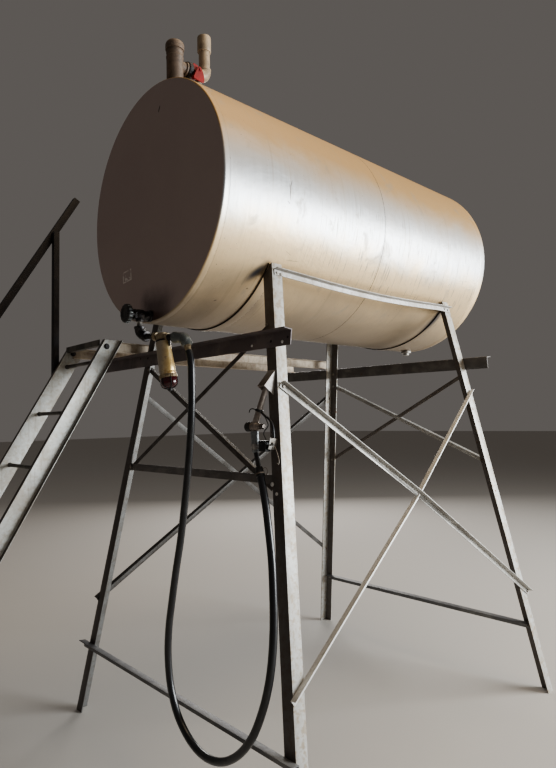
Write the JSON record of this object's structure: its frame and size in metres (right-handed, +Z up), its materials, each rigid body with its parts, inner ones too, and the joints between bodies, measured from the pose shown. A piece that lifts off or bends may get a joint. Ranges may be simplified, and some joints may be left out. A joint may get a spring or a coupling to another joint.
{
  "type": "elevated horizontal fuel tank on stand",
  "caption": "Horizontal cylindrical fuel tank raised on a splayed, cross-braced angle-iron stand, with access ladder, outlet filter, long delivery hose and hand nozzle.",
  "frame": {"origin": "middle of the footprint of the fixed pieces, at ground level", "axes": "+X along the tank from its outlet end to its rear end, +Y towards the ladder side, +Z up"},
  "size_m": [3.551, 2.1478, 3.867],
  "materials": {
    "tank_course_front": "old aluminium paint over steel",
    "tank_course_rear": "old aluminium paint over steel",
    "tank_end_front": "old aluminium paint over steel",
    "tank_end_rear": "old aluminium paint over steel",
    "drain_boss": "old aluminium paint over steel",
    "leg_front_near": "weathered galvanised steel",
    "leg_front_far": "weathered galvanised steel",
    "leg_rear_near": "weathered galvanised steel",
    "leg_rear_far": "weathered galvanised steel",
    "saddle_front": "weathered galvanised steel",
    "saddle_rear": "weathered galvanised steel",
    "top_rail_near": "weathered galvanised steel",
    "top_rail_far": "weathered galvanised steel",
    "cross_beam_front": "dark weathered steel",
    "cross_beam_rear": "dark weathered steel",
    "girt_front_mid": "dark weathered steel",
    "girt_front_low": "weathered galvanised steel",
    "girt_rear_low": "weathered galvanised steel",
    "brace_near_a": "weathered galvanised steel",
    "brace_near_b": "weathered galvanised steel",
    "brace_far_a": "weathered galvanised steel",
    "brace_far_b": "weathered galvanised steel",
    "brace_front_a": "weathered galvanised steel",
    "brace_front_b": "weathered galvanised steel",
    "brace_rear_a": "weathered galvanised steel",
    "brace_rear_b": "weathered galvanised steel",
    "bearer_near": "weathered galvanised steel",
    "bearer_far": "weathered galvanised steel",
    "ladder_stringer_near": "weathered galvanised steel",
    "ladder_stringer_far": "weathered galvanised steel",
    "rung_1": "dark weathered steel",
    "rung_2": "dark weathered steel",
    "rung_3": "dark weathered steel",
    "rung_4": "dark weathered steel",
    "rung_5": "dark weathered steel",
    "rung_6": "dark weathered steel",
    "rung_7": "dark weathered steel",
    "ladder_top_bar": "dark weathered steel",
    "handrail_post_upper": "black paint",
    "handrail_post_lower": "black paint",
    "handrail": "black paint",
    "vent_stub": "dull grey pipe",
    "vent_cap": "dull grey pipe",
    "branch_valve": "red paint",
    "riser": "dull grey pipe",
    "outlet_valve": "oily cast metal",
    "outlet_handwheel": "black, worn",
    "outlet_elbow": "oily cast metal",
    "filter": "gold passivated canister",
    "filter_bowl": "dark red translucent bowl",
    "hose_elbow": "oily cast metal",
    "hose": "black rubber",
    "nozzle": "oily cast metal",
    "nozzle_cap": "black",
    "nozzle_tail": "black hose tail with its ferrule",
    "nozzle_lever": "black",
    "nozzle_hood": "weathered galvanised steel",
    "hasp": "weathered galvanised steel",
    "padlock": "black"
  },
  "bodies": {
    "root": {"tank_course_front": "tank_course_front", "tank_course_rear": "tank_course_rear", "tank_end_front": "tank_end_front", "tank_end_rear": "tank_end_rear", "drain_boss": "drain_boss", "leg_front_near": "leg_front_near", "leg_front_far": "leg_front_far", "leg_rear_near": "leg_rear_near", "leg_rear_far": "leg_rear_far", "saddle_front": "saddle_front", "saddle_rear": "saddle_rear", "top_rail_near": "top_rail_near", "top_rail_far": "top_rail_far", "cross_beam_front": "cross_beam_front", "cross_beam_rear": "cross_beam_rear", "girt_front_mid": "girt_front_mid", "girt_front_low": "girt_front_low", "girt_rear_low": "girt_rear_low", "brace_near_a": "brace_near_a", "brace_near_b": "brace_near_b", "brace_far_a": "brace_far_a", "brace_far_b": "brace_far_b", "brace_front_a": "brace_front_a", "brace_front_b": "brace_front_b", "brace_rear_a": "brace_rear_a", "brace_rear_b": "brace_rear_b", "bearer_near": "bearer_near", "bearer_far": "bearer_far", "ladder_stringer_near": "ladder_stringer_near", "ladder_stringer_far": "ladder_stringer_far", "rung_1": "rung_1", "rung_2": "rung_2", "rung_3": "rung_3", "rung_4": "rung_4", "rung_5": "rung_5", "rung_6": "rung_6", "rung_7": "rung_7", "ladder_top_bar": "ladder_top_bar", "handrail_post_upper": "handrail_post_upper", "handrail_post_lower": "handrail_post_lower", "handrail": "handrail", "vent_stub": "vent_stub", "vent_cap": "vent_cap", "branch_valve": "branch_valve", "riser": "riser", "outlet_valve": "outlet_valve", "outlet_handwheel": "outlet_handwheel", "outlet_elbow": "outlet_elbow", "filter": "filter", "filter_bowl": "filter_bowl", "hose_elbow": "hose_elbow", "hose": "hose", "nozzle": "nozzle", "nozzle_cap": "nozzle_cap", "nozzle_tail": "nozzle_tail", "nozzle_lever": "nozzle_lever", "nozzle_hood": "nozzle_hood", "hasp": "hasp", "padlock": "padlock"}
  },
  "joints": []
}
